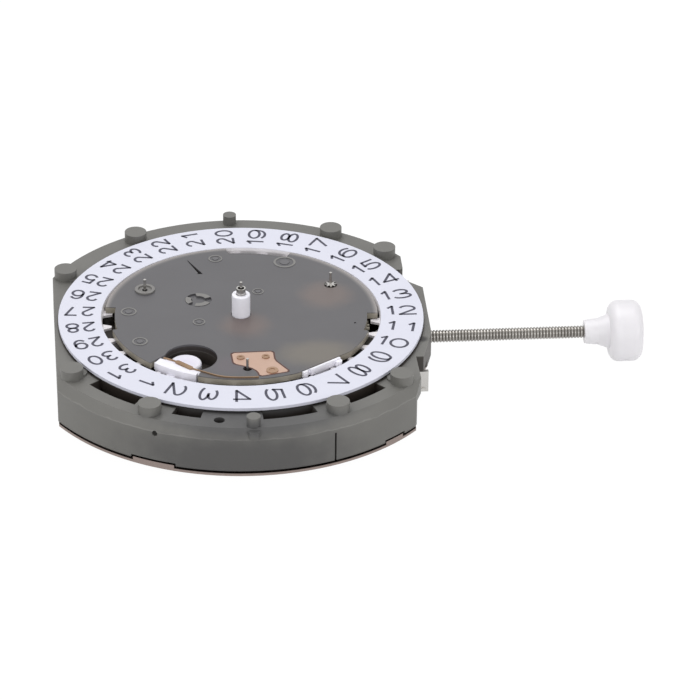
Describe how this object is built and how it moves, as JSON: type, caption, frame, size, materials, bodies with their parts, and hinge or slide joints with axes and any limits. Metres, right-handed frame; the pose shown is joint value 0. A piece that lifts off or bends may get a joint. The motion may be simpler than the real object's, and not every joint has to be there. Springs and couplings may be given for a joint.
{
  "type": "watch movement",
  "caption": "Round analogue quartz chronograph movement with a date ring, centre hand stack, small hand arbors and a threaded winding stem.",
  "frame": {"origin": "on the axis of the centre hands, in the plane of the back cover", "axes": "+Z towards the dial, +X along the winding stem (3 o'clock), +Y towards 12 o'clock"},
  "size_m": [0.0419, 0.031, 0.0072],
  "materials": {
    "frame_plastic": "satin",
    "guard_plastic": "satin",
    "ring_white": "satin with dark numerals",
    "white_plastic": "satin",
    "train_plastic": "satin",
    "steel": "polished",
    "plate_metal": "brushed",
    "copper": "bright",
    "rivet_metal": "satin",
    "stator_iron": "smooth",
    "battery_steel": "bright",
    "board_green": "satin",
    "chip_black": "matt",
    "crystal_can": "bright"
  },
  "bodies": {
    "movement": {"main_frame": "frame_plastic", "date_guard": "guard_plastic", "contact_plate": "copper", "contact_rivets": "rivet_metal", "date_jumper": "white_plastic", "jumper_spring": "copper", "back_plate": "plate_metal", "back_cover": "plate_metal", "cover_screws": "steel", "battery": "battery_steel", "battery_clamp": "steel", "battery_contact": "copper", "train_bridge": "plate_metal", "bridge_screws": "steel", "circuit_board": "board_green", "ic_chip": "chip_black", "quartz_crystal": "crystal_can", "chrono_stator": "stator_iron", "chrono_coil_core": "stator_iron", "chrono_winding": "copper", "time_stator": "stator_iron", "time_coil_core": "stator_iron", "time_winding": "copper", "counter_left_stator": "stator_iron", "counter_left_coil_core": "stator_iron", "counter_left_winding": "copper", "counter_right_stator": "stator_iron", "counter_right_coil_core": "stator_iron", "counter_right_winding": "copper"},
    "date_ring": {"date_ring": "ring_white"},
    "cannon_pinion": {"cannon_pinion": "steel"},
    "minute_wheel": {"minute_wheel": "train_plastic"},
    "hour_wheel": {"hour_wheel": "white_plastic"},
    "day_wheel": {"day_wheel": "train_plastic"},
    "setting_wheel": {"setting_wheel": "train_plastic"},
    "third_wheel": {"third_wheel": "train_plastic"},
    "centre_wheel": {"centre_wheel": "train_plastic"},
    "chrono_hand_wheel": {"chrono_hand_wheel": "steel"},
    "chrono_driver_wheel": {"chrono_driver_wheel": "train_plastic"},
    "chrono_rotor": {"chrono_rotor": "steel"},
    "time_hand_wheel": {"time_hand_wheel": "steel"},
    "time_driver_wheel": {"time_driver_wheel": "train_plastic"},
    "time_rotor": {"time_rotor": "steel"},
    "counter_left_hand_wheel": {"counter_left_hand_wheel": "steel"},
    "counter_left_driver_wheel": {"counter_left_driver_wheel": "train_plastic"},
    "counter_left_rotor": {"counter_left_rotor": "steel"},
    "counter_right_hand_wheel": {"counter_right_hand_wheel": "steel"},
    "counter_right_driver_wheel": {"counter_right_driver_wheel": "train_plastic"},
    "counter_right_rotor": {"counter_right_rotor": "steel"},
    "clutch_wheel": {"clutch_wheel": "steel"},
    "setting_lever": {"setting_lever": "steel"},
    "yoke": {"yoke": "steel"},
    "start_lever": {"start_lever": "steel"},
    "reset_lever": {"reset_lever": "steel"},
    "date_corrector": {"date_corrector": "white_plastic"},
    "stem": {"stem": "steel", "stem_tip": "white_plastic"}
  },
  "joints": [
    {"name": "date_ring_turn", "type": "hinge", "parent": "movement", "child": "date_ring", "pos_m": [0, 0, 0.00434], "axis": [0, 0, 1], "continuous": true, "deforming": ["date_jumper", "jumper_spring"]},
    {"name": "cannon_turn", "type": "hinge", "parent": "movement", "child": "cannon_pinion", "pos_m": [0, 0, 0.00325], "axis": [0, 0, 1], "continuous": true},
    {"name": "minute_wheel_turn", "type": "hinge", "parent": "movement", "child": "minute_wheel", "pos_m": [0.00266, -0.00186, 0.00325], "axis": [0, 0, 1], "continuous": true},
    {"name": "hour_wheel_turn", "type": "hinge", "parent": "movement", "child": "hour_wheel", "pos_m": [0, 0, 0.00351], "axis": [0, 0, 1], "continuous": true},
    {"name": "day_wheel_turn", "type": "hinge", "parent": "movement", "child": "day_wheel", "pos_m": [0.00535, -0.00075, 0.00377], "axis": [0, 0, 1], "continuous": true},
    {"name": "setting_wheel_turn", "type": "hinge", "parent": "movement", "child": "setting_wheel", "pos_m": [0.00549, 0, 0.00325], "axis": [0, 0, 1], "continuous": true},
    {"name": "time_hand_turn", "type": "hinge", "parent": "movement", "child": "time_hand_wheel", "pos_m": [0, -0.0077, 0.00219], "axis": [0, 0, 1], "continuous": true},
    {"name": "third_wheel_turn", "type": "hinge", "parent": "movement", "child": "third_wheel", "pos_m": [0.00125, -0.00369, 0.00243], "axis": [0, 0, 1], "continuous": true},
    {"name": "centre_wheel_turn", "type": "hinge", "parent": "movement", "child": "centre_wheel", "pos_m": [0, 0, 0.00267], "axis": [0, 0, 1], "continuous": true},
    {"name": "chrono_hand_turn", "type": "hinge", "parent": "movement", "child": "chrono_hand_wheel", "pos_m": [0, 0, 0.00219], "axis": [0, 0, 1], "continuous": true},
    {"name": "chrono_driver_turn", "type": "hinge", "parent": "movement", "child": "chrono_driver_wheel", "pos_m": [-0.00359, -0.00168, 0.00195], "axis": [0, 0, 1], "continuous": true},
    {"name": "chrono_rotor_turn", "type": "hinge", "parent": "movement", "child": "chrono_rotor", "pos_m": [-0.00555, -0.00259, 0.00195], "axis": [0, 0, 1], "continuous": true},
    {"name": "time_driver_turn", "type": "hinge", "parent": "movement", "child": "time_driver_wheel", "pos_m": [0.00329, -0.0089, 0.00195], "axis": [0, 0, 1], "continuous": true},
    {"name": "time_rotor_turn", "type": "hinge", "parent": "movement", "child": "time_rotor", "pos_m": [0.00532, -0.00964, 0.00195], "axis": [0, 0, 1], "continuous": true},
    {"name": "counter_left_hand_turn", "type": "hinge", "parent": "movement", "child": "counter_left_hand_wheel", "pos_m": [-0.00667, 0.00385, 0.00219], "axis": [0, 0, 1], "continuous": true},
    {"name": "counter_left_driver_turn", "type": "hinge", "parent": "movement", "child": "counter_left_driver_wheel", "pos_m": [-0.00807, 0.00627, 0.00195], "axis": [0, 0, 1], "continuous": true},
    {"name": "counter_left_rotor_turn", "type": "hinge", "parent": "movement", "child": "counter_left_rotor", "pos_m": [-0.00749, 0.00785, 0.00195], "axis": [0, 0, 1], "continuous": true},
    {"name": "counter_right_hand_turn", "type": "hinge", "parent": "movement", "child": "counter_right_hand_wheel", "pos_m": [0.00667, 0.00385, 0.00219], "axis": [0, 0, 1], "continuous": true},
    {"name": "counter_right_driver_turn", "type": "hinge", "parent": "movement", "child": "counter_right_driver_wheel", "pos_m": [0.00807, 0.00627, 0.00195], "axis": [0, 0, 1], "continuous": true},
    {"name": "counter_right_rotor_turn", "type": "hinge", "parent": "movement", "child": "counter_right_rotor", "pos_m": [0.00749, 0.00785, 0.00195], "axis": [0, 0, 1], "continuous": true},
    {"name": "clutch_turn", "type": "hinge", "parent": "movement", "child": "clutch_wheel", "pos_m": [0.0077, 0, 0.0023], "axis": [1, 0, 0], "continuous": true},
    {"name": "stem_pull", "type": "slide", "parent": "clutch_wheel", "child": "stem", "axis": [1, 0, 0], "range_m": [0, 0.001]},
    {"name": "setting_lever_turn", "type": "hinge", "parent": "movement", "child": "setting_lever", "pos_m": [0.01125, -0.003, 0.00138], "axis": [0, 0, 1], "range_deg": [-18.95, 0]},
    {"name": "yoke_turn", "type": "hinge", "parent": "movement", "child": "yoke", "pos_m": [0.00929, -0.0033, 0.00219], "axis": [0, 0, 1], "range_deg": [0, 9]},
    {"name": "start_lever_push", "type": "hinge", "parent": "movement", "child": "start_lever", "pos_m": [0.0107, 0.0082, 0.00142], "axis": [0, 0, 1], "range_deg": [-8, 0], "stiffness_Nm_per_rad": 0.0004, "springref_deg": 1.72},
    {"name": "reset_lever_push", "type": "hinge", "parent": "movement", "child": "reset_lever", "pos_m": [0.0107, -0.00821, 0.00142], "axis": [0, 0, 1], "range_deg": [0, 8], "stiffness_Nm_per_rad": 0.0004, "springref_deg": -1.72},
    {"name": "date_corrector_rock", "type": "hinge", "parent": "movement", "child": "date_corrector", "pos_m": [0.00411, -0.0077, 0.00321], "axis": [0, 0, 1], "range_deg": [-3.5, 0]}
  ],
  "couplings": [
    {"joint": "minute_wheel_turn", "follows": "cannon_turn", "ratio": -0.33333},
    {"joint": "hour_wheel_turn", "follows": "cannon_turn", "ratio": 0.083333},
    {"joint": "day_wheel_turn", "follows": "cannon_turn", "ratio": -0.041667},
    {"joint": "setting_wheel_turn", "follows": "cannon_turn", "ratio": 0.85714},
    {"joint": "third_wheel_turn", "follows": "time_hand_turn", "ratio": -0.16667},
    {"joint": "centre_wheel_turn", "follows": "time_hand_turn", "ratio": 0.016667},
    {"joint": "chrono_driver_turn", "follows": "chrono_hand_turn", "ratio": -6},
    {"joint": "chrono_rotor_turn", "follows": "chrono_hand_turn", "ratio": 30},
    {"joint": "time_driver_turn", "follows": "time_hand_turn", "ratio": -6},
    {"joint": "time_rotor_turn", "follows": "time_hand_turn", "ratio": 30},
    {"joint": "counter_left_driver_turn", "follows": "counter_left_hand_turn", "ratio": -6},
    {"joint": "counter_left_rotor_turn", "follows": "counter_left_hand_turn", "ratio": 30},
    {"joint": "counter_right_driver_turn", "follows": "counter_right_hand_turn", "ratio": -6},
    {"joint": "counter_right_rotor_turn", "follows": "counter_right_hand_turn", "ratio": 30},
    {"joint": "setting_lever_turn", "follows": "stem_pull", "rad_per_m": -330.3},
    {"joint": "yoke_turn", "follows": "stem_pull", "rad_per_m": 156}
  ]
}
